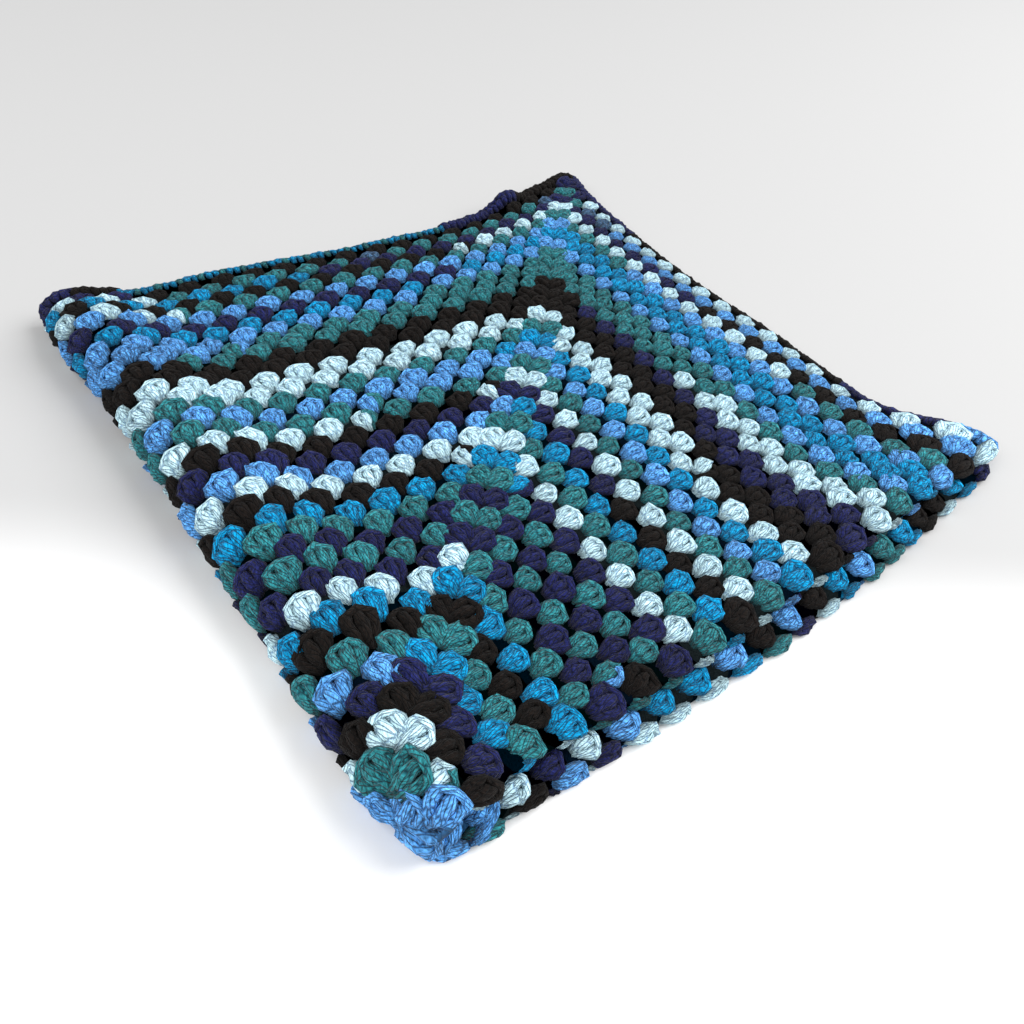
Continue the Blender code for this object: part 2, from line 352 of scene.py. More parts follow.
def foldPoints(flat):
    # flat points: along, across and outward from the middle of the cloth
    along, across, outward = flat.T
    fadeAcross = ease(np.abs(across) / fold["tuckFade"])
    fadeAlong = ease(np.abs(along) / fold["tuckFade"])
    rightTuck = fold["tuckBottomRight"] * (along < 0)
    rightTuck = rightTuck + fold["tuckInnerRight"] * (across < 0) * fadeAcross
    backTuck = fold["tuckInnerBack"] * (across < 0) + fold["tuckBottomBack"] * (along < 0) * fadeAlong

    # the first fold
    pair = fold["pairRadius"]
    arc = math.pi / 2 * pair
    angle = np.clip(across, -arc, arc) / pair
    y = pair - (pair + outward) * np.cos(angle) + np.maximum(np.abs(across) - arc, 0)
    inPair = (pair + outward) * np.sin(angle)

    # the second fold
    bend = fold["rollRadius"] + pair * np.sin(angle)
    arc = math.pi / 2 * bend
    angle = np.clip(along, -arc, arc) / bend
    shown = halfSide - math.pi / 2 * fold["outerRadius"] - rightTuck
    straight = np.maximum(np.abs(along) - arc, 0) * shown / (halfSide - arc)
    x = fold["outerRadius"] - (fold["rollRadius"] + inPair) * np.cos(angle) + straight
    height = (fold["rollRadius"] + inPair) * np.sin(angle)
    y = y - backTuck * np.maximum(y, 0) / halfSide
    level = np.clip(height / fold["outerRadius"], -1, 1)

    # the roll's hollow closes away from the fold
    gap = fold["innerGap"]
    closing = (gap - fold["restingGap"]) * ease((x - fold["closingStart"]) / fold["closingLength"])
    height = np.where(np.abs(height) < gap, height * (1 - closing / gap),
                      height - np.sign(height) * closing)
    height += fold["outerRadius"] + crochet["thickness"] / 2 - closing

    newX, newY = easeOutline(x, y, level)
    raised = sum(share * bell(np.hypot(newX - atX, newY - atY), reach)
                 for atX, atY, share, reach in humps)
    z = height * stackLoft(x, y) * (1 + raised)
    hanging = ease((along - halfSide + fold["tuckInnerRight"]) / fold["tuckInnerRight"])
    z -= fold["overhangDrop"] * hanging * fadeAcross * ((along > 0) & (across > 0))
    return np.stack([newX, newY, z], axis=1)


sampling = {                 # lines on which the folded cloth is measured, closer at the folds
    "lines": 601,
    "fineLines": 161,
    "fineReach": 0.02,
}


def frameOffset():
    # from the fold's own corner to the frame's origin: the two boxes are laid together
    steps = np.linspace(-halfSide, halfSide, sampling["lines"])
    fine = np.linspace(-sampling["fineReach"], sampling["fineReach"], sampling["fineLines"])
    lines = np.unique(np.concatenate([steps, fine]))
    along, across = np.meshgrid(lines, lines)
    low = np.full(3, math.inf)
    high = -low
    for side in (-1, 1):
        outward = np.full(along.size, side * crochet["thickness"] / 2)
        folded = foldPoints(np.stack([along.ravel(), across.ravel(), outward], axis=1))
        low = np.minimum(low, folded.min(axis=0))
        high = np.maximum(high, folded.max(axis=0))
    nodeLow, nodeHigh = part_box("blanket")
    offset = (np.array(nodeLow) + np.array(nodeHigh) - low - high) / 2
    offset[2] = nodeLow.z - low[2]
    print("fold differs from the frame by", np.round((high - low) - np.array(nodeHigh - nodeLow), 4))
    return offset


foldOffset = frameOffset()


def layFolded(flat):
    moved = flat.copy()
    moved[:, 0], moved[:, 1] = slideCloth(flat[:, 0], flat[:, 1])
    return foldPoints(moved)


puffs = {                    # a cluster is stiff: it sits on a fold more than it bends round it
    "stiffness": 0.90,
    "reach": 0.008,          # half the length over which it feels the cloth's direction
    "squareness": 0.8,       # share by which its two directions are set square again
    "least": 0.86,
    "most": 1.25,
}


def carryPuffs(flat, centres):
    # each cluster carried whole, as a plate on the cloth at its centre
    directions, lengths = [], []
    for axis in (0, 1):
        step = np.zeros(3)
        step[axis] = puffs["reach"]
        chord = (layFolded(centres + step) - layFolded(centres - step)) / (2 * puffs["reach"])
        length = np.linalg.norm(chord, axis=1, keepdims=True)
        directions.append(chord / length)
        lengths.append(np.clip(length, puffs["least"], puffs["most"]))
    # a puff keeps its shape where the cloth is pulled askew
    askew = (directions[0] * directions[1]).sum(axis=1, keepdims=True) * puffs["squareness"] / 2
    directions = [directions[0] - askew * directions[1], directions[1] - askew * directions[0]]
    directions = [way / np.linalg.norm(way, axis=1, keepdims=True) * length
                  for way, length in zip(directions, lengths)]
    outward = np.cross(*directions)
    outward /= np.linalg.norm(outward, axis=1, keepdims=True)
    offset = flat - centres
    return (layFolded(centres) + offset[:, 0:1] * directions[0]
            + offset[:, 1:2] * directions[1] + offset[:, 2:3] * outward)


def foldMesh(mesh):
    flat = readVectors(mesh.vertices, "co")
    folded = layFolded(flat)
    centre = mesh.attributes.get("centre")
    if centre:
        carried = carryPuffs(flat, readVectors(centre.data, "vector"))
        folded += puffs["stiffness"] * (carried - folded)
        mesh.attributes.remove(centre)
    folded += foldOffset
    folded[:, 2] = np.maximum(folded[:, 2], 0.0)     # pressed flat on the floor
    mesh.vertices.foreach_set("co", folded.astype(np.float32).ravel())
    mesh.update()


# the camera
cameraSettings = {
    "place": (-0.0904, -0.0949, 0.4276),   # from the fold's own corner
    "turn": math.radians(42.73),
    "down": math.radians(49.96),
    "roll": math.radians(12.18),
    "focalPixels": 790.0,
    "imagePixels": 1024.0,
    "shiftPixels": 9.0,
    "sensor": 36.0,          # millimetres
    "nearest": 0.01,
}


def makeCamera():
    turn, down, roll = (cameraSettings[key] for key in ("turn", "down", "roll"))
    look = Vector((math.cos(turn) * math.cos(down), math.sin(turn) * math.cos(down), -math.sin(down)))
    side = Vector((math.sin(turn), -math.cos(turn), 0))
    up = side.cross(look)
    rolledSide = math.cos(roll) * side + math.sin(roll) * up
    rolledUp = -math.sin(roll) * side + math.cos(roll) * up
    data = bpy.data.cameras.new("camera")
    data.sensor_width = cameraSettings["sensor"]
    data.lens = cameraSettings["focalPixels"] / cameraSettings["imagePixels"] * cameraSettings["sensor"]
    data.shift_y = cameraSettings["shiftPixels"] / cameraSettings["imagePixels"]
    data.clip_start = cameraSettings["nearest"]
    camera = linkObject("camera", data)
    camera.matrix_world = Matrix((rolledSide, rolledUp, -look)).transposed().to_4x4()
    camera.matrix_world.translation = Vector(cameraSettings["place"]) + Vector(foldOffset)
    bpy.context.scene.camera = camera


makeCamera()
print("camera ready")

# the colours of the rounds
yarns = {                    # letter in the charts: name and colour as seen
    # the white yarn's painted crease shade is bluish
    "W": {"name": "white", "colour": (0.81, 0.96, 1.00), "creaseShade": (0.39, 0.50, 0.72),
          "contrast": 0.38},
    "P": {"name": "periwinkle", "colour": (0.36, 0.65, 0.93), "contrast": 0.72},
    "T": {"name": "turquoise", "colour": (0.01, 0.56, 0.77), "contrast": 0.72,
          "sheen": 0.10},
    "G": {"name": "green", "colour": (0.16, 0.48, 0.51), "contrast": 0.80},
    "N": {"name": "navy", "colour": (0.10, 0.12, 0.31), "contrast": 0.80, "sheen": 0.10},
    "K": {"name": "black", "colour": (0.080, 0.060, 0.050), "contrast": 0.80, "sheen": 0.04},
    "S": {"name": "slate", "colour": (0.24, 0.37, 0.50)},
}

# Runs of colour from the corner to the fold: "T5 P" is turquoise down to place 5, then
# periwinkle. Two letters are a cluster in which the yarn changes.
towardsBack = [
    "P", "G0 P", "W", "K", "N", "T5 P", "G", "K", "T", "W",
    "N", "G", "N", "G", "T", "W15 WK13 K", "G16 W", "P", "N", "W19 WK17 K",
    "G12 WG10 W", "P13 PG11 G", "T20 P", "G", "W", "K23 W", "K", "K", "G4 P", "G9 GP7 P",
    "G20 P", "P21 T", "T24 N", "P", "G8 WG6 W", "W27 WK25 K", "N16 T", "G37 S35 G21 S19 G7 W",
    "N38 K6 N",
]
towardsRight = [
    "P", "G0 P", "W2 WG", "K", "N", "T", "G", "K0 W", "T", "G",
    "N", "G3 GP", "N2 K", "G", "T14 TN12 N", "W", "G", "T", "N10 K", "W",
    "G", "P", "T", "G23 W", "W10 WK8 K", "K", "K12 N", "K25 N", "G16 W", "G13 W",
    "G", "P", "T", "P33 T", "G26 P", "W11 G", "N20 K", "G35 S31 P", "N36 W",
]
# the two sides that are turned under: one colour a round
towardsLeft = "PPPPGWKNPWNPWTWTWPTKGPNKWTTPGGGTTKKKWTT"
towardsFront = "PPPKTNGWKTGNWPTGKWNTPGKWTNGPKTWGNTPWGKN"


def chartColour(side, ring, place):
    # side 0 faces the back, 1 the right, 2 the front and 3 the left
    chart = (towardsBack, towardsRight, towardsFront, towardsLeft)[side][ring - 1]
    for run in chart.split():
        letters = run.rstrip("0123456789")
        if place >= int(run[len(letters):] or -1):
            break
    return letters


hiddenYarn = {               # past its fold each side's yarn changes once more, by a fixed rule
    "order": "WPTGNK",
    "nearest": 5,            # places past the fold
    "spread": 13,
    "ringStep": 7,
    "sideStep": 5,
    "changes": 4,
}


def clusterColour(side, ring, place):
    visible = chartColour(side, ring, place)
    start = hiddenYarn["nearest"]
    start += (ring * hiddenYarn["ringStep"] + side * hiddenYarn["sideStep"]) % hiddenYarn["spread"]
    if place > -start:
        return visible
    order = hiddenYarn["order"]
    return order[(order.find(visible[0]) + 1 + ring % hiddenYarn["changes"]) % len(order)]


# A cluster is three double crochet posts and the cord of loops along their tops.
# Sizes are in millimetres: sideways, up and outward.
posts = {
    "middle": {"points": [(0.0, -1.8, -0.6), (0.0, 2.4, 1.1), (0.1, 6.8, 3.0), (0.0, 10.8, 3.2),
                          (0.0, 14.0, 1.6)],
               "radii": [2.0, 2.9, 3.4, 3.3, 2.7]},
    "left": {"points": [(-1.9, -1.6, -0.9), (-3.8, 2.3, 0.2), (-5.4, 6.6, 1.3), (-6.3, 10.2, 1.6),
                        (-5.2, 13.0, 1.2)],
             "radii": [1.9, 2.7, 3.2, 3.4, 3.0]},
}
cord = {                     # the loops along the tops, their ends tucked in behind the posts
    "points": [(-5.9, 5.6, -1.6), (-7.9, 9.6, 0.4), (-7.4, 12.9, 2.0), (-3.9, 14.5, 3.0),
               (-0.2, 15.5, 3.7), (3.7, 14.7, 3.4), (7.3, 12.9, 2.8), (8.2, 9.2, 1.6),
               (6.2, 5.0, -0.6)],
    "radii": [1.6, 2.1, 2.3, 2.0, 2.3, 2.0, 2.3, 2.2, 1.7],
}
perMetre = 1000              # millimetres
twoColourFrom = 4            # in a two-colour cluster the second yarn starts at this cord point
lastLoop = len(cord["points"]) - 1
strandShade = {                   # painted shade along a strand: how light the yarn is, from 0 to 1
    "cordEnd": 0.35,
    "cordEndPoints": 2,      # points at each end of the cord that lie behind the posts, darker in painted shade
    "postFoot": 0.06,        # share of a half wave at which a post starts
}


def mirrored(strand):
    return {**strand, "points": [(-x, y, z) for x, y, z in strand["points"]]}


posts["right"] = mirrored(posts["left"])


def postStrand(post, steps, sides):
    # a post smoothed to more rings
    strand = posts[post]
    shares = np.linspace(0, len(strand["points"]) - 1, steps + 1)
    rows = np.arange(len(strand["points"]))
    points = np.array([readEdge(list(zip(rows, column)), shares)
                       for column in zip(*strand["points"])]).T
    radii = readEdge(list(zip(rows, strand["radii"])), shares)
    # painted shade: a post is darker at its foot and its top
    strandLight = np.sin(math.pi * np.linspace(strandShade["postFoot"], 1.0, steps + 1))
    return {"points": points.tolist(), "radii": radii.tolist(), "strandShade": strandLight.tolist(),
            "sides": sides}


def cordStrand(first, last, sides):
    ends = strandShade["cordEndPoints"]
    # painted shade on the cord's ends, which lie behind the posts
    strandLight = [1.0 if ends <= index <= lastLoop - ends else strandShade["cordEnd"]
                 for index in range(first, last + 1)]
    return {"points": cord["points"][first:last + 1], "radii": cord["radii"][first:last + 1],
            "strandShade": strandLight, "sides": sides}


# a single crochet of the edging: its short post and its piece of the smooth outer cord, with painted
# shade towards their ends
edgingStrands = [
    {"points": [(0.0, -3.2, 0.6), (0.0, 0.8, 1.9), (0.3, 4.2, 1.3)], "radii": [1.8, 2.7, 2.2],
     "strandShade": [0.3, 1.0, 0.4], "sides": 5},
    {"points": [(-4.6, 4.3, 0.7), (0.0, 4.9, 1.3), (4.6, 4.3, 0.7)], "radii": [1.9, 2.5, 1.9],
     "strandShade": [0.6, 1.0, 0.6], "sides": 6},
]


def strandMesh(name, strands):
    # round strands with closed ends; the UV map holds millimetres along and around them,
    # its seam at the back
    mesh = bpy.data.meshes.new(name)
    build = bmesh.new()
    uvLayer = build.loops.layers.uv.new("yarn")
    # painted shade along each strand, kept on its points
    strandShadeLayer = build.verts.layers.float.new("crest")
    for strand in strands:
        points = [Vector(point) / perMetre for point in strand["points"]]
        sides = strand["sides"]
        around = 2 * math.pi * max(strand["radii"])
        rings, lengths = [], []
        travelled = 0.0
        for index, point in enumerate(points):
            ahead = points[min(index + 1, len(points) - 1)]
            behind = points[max(index - 1, 0)]
            direction = (ahead - behind).normalized()
            across = direction.cross(Vector((0, 0, 1))).normalized()
            upward = across.cross(direction)
            size = strand["radii"][index] / perMetre
            ring = []
            for step in range(sides):
                angle = 2 * math.pi * step / sides - math.pi / 2
                out = math.cos(angle) * across + math.sin(angle) * upward
                vertex = build.verts.new(point + size * out)
                vertex[strandShadeLayer] = strand["strandShade"][index]
                ring.append(vertex)
            rings.append(ring)
            travelled += (point - behind).length * perMetre
            lengths.append(travelled)
        for index in range(len(rings) - 1):
            for step in range(sides):
                corners = [(index, step), (index, step + 1), (index + 1, step + 1), (index + 1, step)]
                face = build.faces.new([rings[ring][turn % sides] for ring, turn in corners])
                for loop, (ring, turn) in zip(face.loops, corners):
                    loop[uvLayer].uv = (lengths[ring], turn / sides * around)
        for ring, turned in ((rings[0], True), (rings[-1], False)):
            face = build.faces.new(ring[::-1] if turned else ring)
            for loop in face.loops:
                loop[uvLayer].uv = (0.0 if turned else travelled, around / 2)
    bmesh.ops.recalc_face_normals(build, faces=build.faces)
    build.to_mesh(mesh)
    build.free()
    mesh.shade_smooth()
    return bpy.data.objects.new(name, mesh)


def clusterStrands(kept, cordEnds, steps, sides):
    # each strand is a piece of its own, with only a few dozen faces
    strands = [[postStrand(post, steps, sides)] for post in kept]
    if cordEnds:
        strands.append([cordStrand(*cordEnds, sides - 2)])
    return strands


stitchPieces = {             # coarser where they show less
    "front": clusterStrands(posts, (0, lastLoop), steps=5, sides=7),
    "frontFirst": clusterStrands(("left", "middle"), (0, twoColourFrom), steps=5, sides=7),
    "frontLast": clusterStrands(("right",), (twoColourFrom, lastLoop), steps=5, sides=7),
    "under": clusterStrands(posts, (0, lastLoop), steps=4, sides=6),
    "inner": clusterStrands(posts, None, steps=3, sides=5),
    "edging": [edgingStrands],
}


def stitchSource(kind):
    source = bpy.data.collections.new(kind)
    bpy.context.scene.collection.children.link(source)
    for strands in stitchPieces[kind]:
        source.objects.link(strandMesh(kind, strands))
    return source


sources = {kind: stitchSource(kind) for kind in stitchPieces}
print("stitches shaped")


stitchWork = {               # how unevenly the yarn is worked: inputs of the tree
    "Unevenness": 0.05,      # of the size
    "Lean": 0.07,            # radians
    "Warp": 0.0045,          # how far a noise pushes the yarn about
    "Warp Scale": 210.0,
}


def pointValue(tree, name, kind):
    settings = {"data_type": kind}
    return addNode(tree, "GeometryNodeInputNamedAttribute", settings, {"Name": name}).outputs["Attribute"]


def stitchTree():
    # a stitch on every point, turned and sized by the point's attributes, a little uneven
    tree = bpy.data.node_groups.new("workStitches", "GeometryNodeTree")
    inputs = {"Geometry": "Geometry", "Stitch": "Collection", "Yarn": "Material",
              **{name: "Float" for name in stitchWork}, "Seed": "Int"}
    for name, kind in inputs.items():
        tree.interface.new_socket(name, in_out="INPUT", socket_type="NodeSocket" + kind)
    tree.interface.new_socket("Geometry", in_out="OUTPUT", socket_type="NodeSocketGeometry")

    given = addNode(tree, "NodeGroupInput").outputs
    # random size, and random lean about the stitch's own axes
    randomSize = addNode(tree, "FunctionNodeRandomValue", {"data_type": "FLOAT"}, {
        "Min": addMath(tree, "SUBTRACT", 1.0, given["Unevenness"]),
        "Max": addMath(tree, "ADD", 1.0, given["Unevenness"]), "Seed": given["Seed"]})
    randomLean = addNode(tree, "FunctionNodeRandomValue", {"data_type": "FLOAT_VECTOR"}, {
        "Min": addMath(tree, "MULTIPLY", given["Lean"], -1.0), "Max": given["Lean"],
        "Seed": given["Seed"]})
    size = addMath(tree, "MULTIPLY", randomSize.outputs["Value"], pointValue(tree, "size", "FLOAT"))

    # the yarn's own unevenness, so that no two clusters are alike
    noise = addNode(tree, "ShaderNodeTexNoise", inputs={"Scale": given["Warp Scale"], "Detail": 1.0})
    centred = addNode(tree, "ShaderNodeVectorMath", {"operation": "SUBTRACT"},
                      {0: noise.outputs["Color"], 1: (0.5, 0.5, 0.5)})
    warped = addNode(tree, "ShaderNodeVectorMath", {"operation": "SCALE"},
                     {0: centred.outputs["Vector"], "Scale": given["Warp"]})

    source = addNode(tree, "GeometryNodeCollectionInfo", inputs={"Collection": given["Stitch"]})
    turn = addNode(tree, "FunctionNodeEulerToRotation",
                   inputs={"Euler": pointValue(tree, "turn", "FLOAT_VECTOR")})
    place = addNode(tree, "GeometryNodeInstanceOnPoints", inputs={
        "Points": given["Geometry"], "Instance": source.outputs["Instances"],
        "Rotation": turn.outputs["Rotation"], "Scale": size})
    lean = addNode(tree, "GeometryNodeRotateInstances", inputs={
        "Instances": place.outputs["Instances"], "Rotation": randomLean.outputs["Value"]})
    realize = addNode(tree, "GeometryNodeRealizeInstances",
                      inputs={"Geometry": lean.outputs["Instances"]})
    move = addNode(tree, "GeometryNodeSetPosition", inputs={
        "Geometry": realize.outputs["Geometry"], "Offset": warped.outputs["Vector"]})
    paint = addNode(tree, "GeometryNodeSetMaterial", inputs={
        "Geometry": move.outputs["Geometry"], "Material": given["Yarn"]})
    addNode(tree, "NodeGroupOutput", inputs={"Geometry": paint.outputs["Geometry"]})
    return tree


workStitches = stitchTree()


def setInputs(modifier, values):
    for item in modifier.node_group.interface.items_tree:
        if item.item_type == "SOCKET" and item.in_out == "INPUT" and item.name in values:
            modifier[item.identifier] = values[item.name]


# where the stitches go
layout = {
    "seed": 7,
    "shift": 0.0007,         # how far a cluster may sit off its place
    "turn": math.radians(5),
    "grow": 0.05,
    "reachBack": 0.0058,     # how far a cluster's foot reaches into the round below
    "cornerTurn": math.radians(6),
    "cornerShare": 0.09,     # a corner's two clusters lean apart from one foot, this far in
    "cornerReach": 0.0008,
    "cornerGrow": 0.06,
    "centreGrow": 0.14,      # the first rounds are fuller
    "centreRounds": 2,
    "outerPull": 0.0045,     # the last rounds are crowded by the edging
    "outerShrink": 0.08,
    "earGrow": 0.26,         # the right corner is pulled out, its clusters with it
    "earReach": 0.045,
    "ridgeGrow": 0.07,       # fuller on the first fold
    "rollGrow": 0.13,        # and beside the second, away from the centre and the back
    "rollReach": 0.085,
    "rollFade": 0.110,
    "outerRounds": 6,
    "middleHeight": 0.0085,  # from a cluster's foot to its middle
    "centreReach": -0.0015,  # the first round's feet stand round the centre
    "ridgeBand": 0.035,      # full stitches this near the first fold
    "rollBand": 0.035,       # and this near the second one
}
chance = random.Random(layout["seed"])
roundHeight = crochet["roundHeight"]
batches = {}                 # (yarn letter, kind of stitch): list of points


def addCluster(letter, kind, place, turn, size, tone, centre):
    cluster = {"place": place, "turn": (0.0, 0.0, turn), "size": size, "tone": tone, "centre": centre}
    batches.setdefault((letter, kind), []).append(cluster)


def clusterKind(along, across):
    # full clusters where they show: on top and over both folds
    nearFold = abs(across) < layout["ridgeBand"] or abs(along) < layout["rollBand"]
    if nearFold or (along >= 0 and across >= 0):
        return "front"
    return "under" if across >= 0 else "inner"


def layCluster(side, ring, place):
    # place counts along X or Y, and tangent runs to the right as seen from the centre
    turn = -side * math.pi / 2
    tangent = place if side in (0, 3) else -place
    letters = clusterColour(side, ring, place)
    jitterX, jitterY = (chance.uniform(-1, 1) * layout["shift"] for _ in range(2))
    wobble = chance.uniform(-1, 1) * layout["turn"]
    size = 1 + chance.uniform(-1, 1) * layout["grow"]
    tone = chance.random()
    atCorner = abs(place) == ring - 1 and ring > 1
    lean = 0.0
    reachBack = layout["reachBack"] if ring > 1 else layout["centreReach"]
    if atCorner:
        lean = math.copysign(layout["cornerTurn"], tangent)
        tangent -= math.copysign(layout["cornerShare"], tangent)
        reachBack = layout["cornerReach"]
    outer = float(ease((ring - crochet["rounds"]) / layout["outerRounds"] + 1))
    size *= 1 + layout["cornerGrow"] * atCorner + layout["centreGrow"] * (ring <= layout["centreRounds"])
    offEar = math.hypot(halfSide - ring * roundHeight, place * roundHeight)
    ear = float(bell(offEar, layout["earReach"])) if side == 1 else 0.0
    outer *= 1 - ear
    size *= 1 - layout["outerShrink"] * outer
    size *= 1 + layout["earGrow"] * ear
    reachBack += layout["outerPull"] * outer
    foot = Vector((tangent * roundHeight + jitterX, (ring - 1) * roundHeight - reachBack + jitterY, 0.0))
    middle = foot + Vector((0, layout["middleHeight"], 0))
    for point in (foot, middle):
        point.rotate(Matrix.Rotation(turn, 3, "Z"))
    kind = clusterKind(middle.x, middle.y)
    size *= 1 + layout["ridgeGrow"] * float(bell(middle.y, layout["ridgeBand"]))
    besideRoll = bell(middle.x, layout["rollReach"]) * ease(middle.y / layout["rollFade"])
    besideRoll *= ease((halfSide - middle.y) / layout["rollFade"] - 1)
    size *= 1 + layout["rollGrow"] * float(besideRoll)
    turn += wobble + lean
    parts = ["frontFirst", "frontLast"] if len(letters) == 2 and kind == "front" else [kind]
    for letter, part in zip(letters, parts):
        addCluster(letter, part, tuple(foot), turn, size, tone, tuple(middle))


def layRounds():
    for ring in range(1, crochet["rounds"] + 1):
        for side in range(4):
            for place in range(ring - 1, -ring, -2):
                layCluster(side, ring, place)


edging = {
    "pitch": 0.0058,
    "inset": 0.0010,
    "size": 1.42,
    "backSize": 0.95,        # along the back it shows only as a thin line
    "turquoiseFrom": 0.052,  # and its yarn is turquoise and green there
    "turquoiseTo": 0.340,
    "greenEvery": 3,         # stitches
    "blueReach": 0.030,      # round the right corner it is periwinkle
    "runLength": 23,         # elsewhere one run of stitches in three is navy, the others black
    "navyEvery": 3,
}


def edgingYarn(side, index, tangent):
    if side == 0 and edging["turquoiseFrom"] < tangent < edging["turquoiseTo"]:
        return "T" if index % edging["greenEvery"] else "G"
    if side == 1 and abs(tangent) < edging["blueReach"]:
        return "P"
    return "K" if index // edging["runLength"] % edging["navyEvery"] else "N"


def layEdging():
    count = int(2 * halfSide / edging["pitch"])
    for side in range(4):
        turn = -side * math.pi / 2
        for index in range(count):
            tangent = -halfSide + (index + 0.5) * 2 * halfSide / count
            letter = edgingYarn(side, index, tangent)
            size = edging["backSize"] if letter in "TG" else edging["size"]
            point = Vector((tangent, crochet["rounds"] * roundHeight - edging["inset"], 0.0))
            point.rotate(Matrix.Rotation(turn, 3, "Z"))
            addCluster(letter, "edging", tuple(point), turn, size, chance.random(), tuple(point))


layRounds()
layEdging()
print("stitches laid:", sum(len(points) for points in batches.values()))


# the yarn
yarnLook = {
    "wrapLength": 7.6,       # millimetres of yarn seen between two crossings
    "wrapWidth": 1.75,
    "wrapTurn": math.radians(22),
    "wrapUnevenness": 0.85,
    "crackWidth": 0.17,      # share of a wrap
    "crackSharpness": 0.7,
    "creaseShadeColour": (0.20, 0.25, 0.34),   # painted shade in the creases between wraps, unless the yarn has its own
    "plyLength": 2.4,
    "plyWidth": 0.95,
    "plyTurn": math.radians(-38),
    "plyDetail": 2.0,
    "plyContrast": 3.4,
    "lumpContrast": 1.2,
    "toneContrast": 0.26,
    "strandShadeContrast": 0.70,
    "lumpScale": 300.0,
    "lumpDetail": 3.0,
    "patternSpread": 700.0,  # millimetres over which the clusters' patterns lie apart
    "plyRelief": 0.9,        # against the wraps' relief
    "bumpStrength": 1.0,
    "bumpDistance": 0.0011,
    "roughness": 0.9,
    "sheen": 0.15,
    "sheenGrey": 0.7,        # the sheen's tint lies this far from the yarn's colour to white
    "sheenRoughness": 0.45,
    "specular": 0.14,
}


def yarnMaterial(letter):
    look = yarns[letter]
    colour = toLinear(look["colour"])
    material, tree, shader = startMaterial(look["name"] + "Yarn")

    def readStitch(name):
        return addNode(tree, "ShaderNodeAttribute", {"attribute_name": name}).outputs["Fac"]

    # every cluster reads another part of the pattern
    tone = readStitch("tone")
    uvMap = addNode(tree, "ShaderNodeUVMap", {"uv_map": "yarn"})
    apart = addNode(tree, "ShaderNodeVectorMath", inputs={
        0: uvMap.outputs["UV"], 1: addMath(tree, "MULTIPLY", tone, yarnLook["patternSpread"])})

    def turned(name):
        inputs = {"Vector": apart.outputs["Vector"], "Rotation": (0.0, 0.0, yarnLook[name + "Turn"]),
                  "Scale": (yarnLook[name + "Length"], yarnLook[name + "Width"], 1.0)}
        mapping = addNode(tree, "ShaderNodeMapping", {"vector_type": "TEXTURE"}, inputs)
        return mapping.outputs["Vector"]

    # painted shade: dark creases between the wraps of yarn, steep along each post; the same creases give
    # the bump
    wraps = addNode(tree, "ShaderNodeTexVoronoi",
                    {"feature": "DISTANCE_TO_EDGE", "voronoi_dimensions": "2D"},
                    {"Vector": turned("wrap"), "Scale": 1.0, "Randomness": yarnLook["wrapUnevenness"]})
    inWrap = addMath(tree, "DIVIDE", wraps.outputs["Distance"], yarnLook["crackWidth"])
    inWrap.node.use_clamp = True
    wrapRound = addMath(tree, "POWER", inWrap, yarnLook["crackSharpness"])
    # short fibres and plies across each wrap, and lumps in the yarn
    plies = addNode(tree, "ShaderNodeTexNoise", {"noise_dimensions": "2D"},
                    {"Vector": turned("ply"), "Scale": 1.0, "Detail": yarnLook["plyDetail"]})
    coordinates = addNode(tree, "ShaderNodeTexCoord")
    lumps = addNode(tree, "ShaderNodeTexNoise", inputs={
        "Vector": coordinates.outputs["Object"], "Scale": yarnLook["lumpScale"],
        "Detail": yarnLook["lumpDetail"]})

    # painted light and shade: brighter on the wraps and on top of the cluster, darker in every crease;
    # the plies, lumps and random tone are the yarn's own
    light = readStitch("depth")
    for value, name in ((plies.outputs["Fac"], "plyContrast"), (lumps.outputs["Fac"], "lumpContrast"),
                        (tone, "toneContrast"), (readStitch("crest"), "strandShadeContrast")):
        strength = yarnLook[name] * look.get("contrast", 1.0)
        share = addMath(tree, "MULTIPLY_ADD", value, strength, 1.0 - strength / 2)   # one on average
        light = addMath(tree, "MULTIPLY", light, share)
    # painted shade in the creases between the wraps
    creaseShade = look.get("creaseShade", yarnLook["creaseShadeColour"])
    creaseShaded = mixColours(tree, "MIX", (*creaseShade, 1.0), (1.0, 1.0, 1.0, 1.0), wrapRound)
    lit = mixColours(tree, "MULTIPLY", creaseShaded, light)
    relief = addMath(tree, "MULTIPLY_ADD", plies.outputs["Fac"], yarnLook["plyRelief"], wrapRound)
    grey = yarnLook["sheenGrey"]
    feedNode(tree, shader, {
        "Base Color": mixColours(tree, "MULTIPLY", (*colour, 1.0), lit),
        "Normal": addBump(tree, relief, yarnLook),
        "Roughness": yarnLook["roughness"],
        "Sheen Weight": look.get("sheen", yarnLook["sheen"]),
        "Sheen Roughness": yarnLook["sheenRoughness"],
        "Sheen Tint": (*[grey + (1 - grey) * part for part in colour], 1.0),
        "Specular IOR Level": yarnLook["specular"],
    })
    return material


materials = {letter: yarnMaterial(letter) for letter in yarns}


def workBatch(letter, kind, points):
    mesh = bpy.data.meshes.new("points")
    mesh.from_pydata([point["place"] for point in points], [], [])
    for key in ("turn", "centre"):
        attribute = mesh.attributes.new(key, "FLOAT_VECTOR", "POINT")
        attribute.data.foreach_set("vector", [value for point in points for value in point[key]])
    for key in ("size", "tone"):
        attribute = mesh.attributes.new(key, "FLOAT", "POINT")
        attribute.data.foreach_set("value", [point[key] for point in points])
    layer = linkObject("layer", mesh)
    modifier = layer.modifiers.new("workStitches", "NODES")
    modifier.node_group = workStitches
    setInputs(modifier, {**stitchWork, "Stitch": sources[kind], "Yarn": materials[letter],
                         "Seed": ord(letter)})
    return plainMesh(layer)


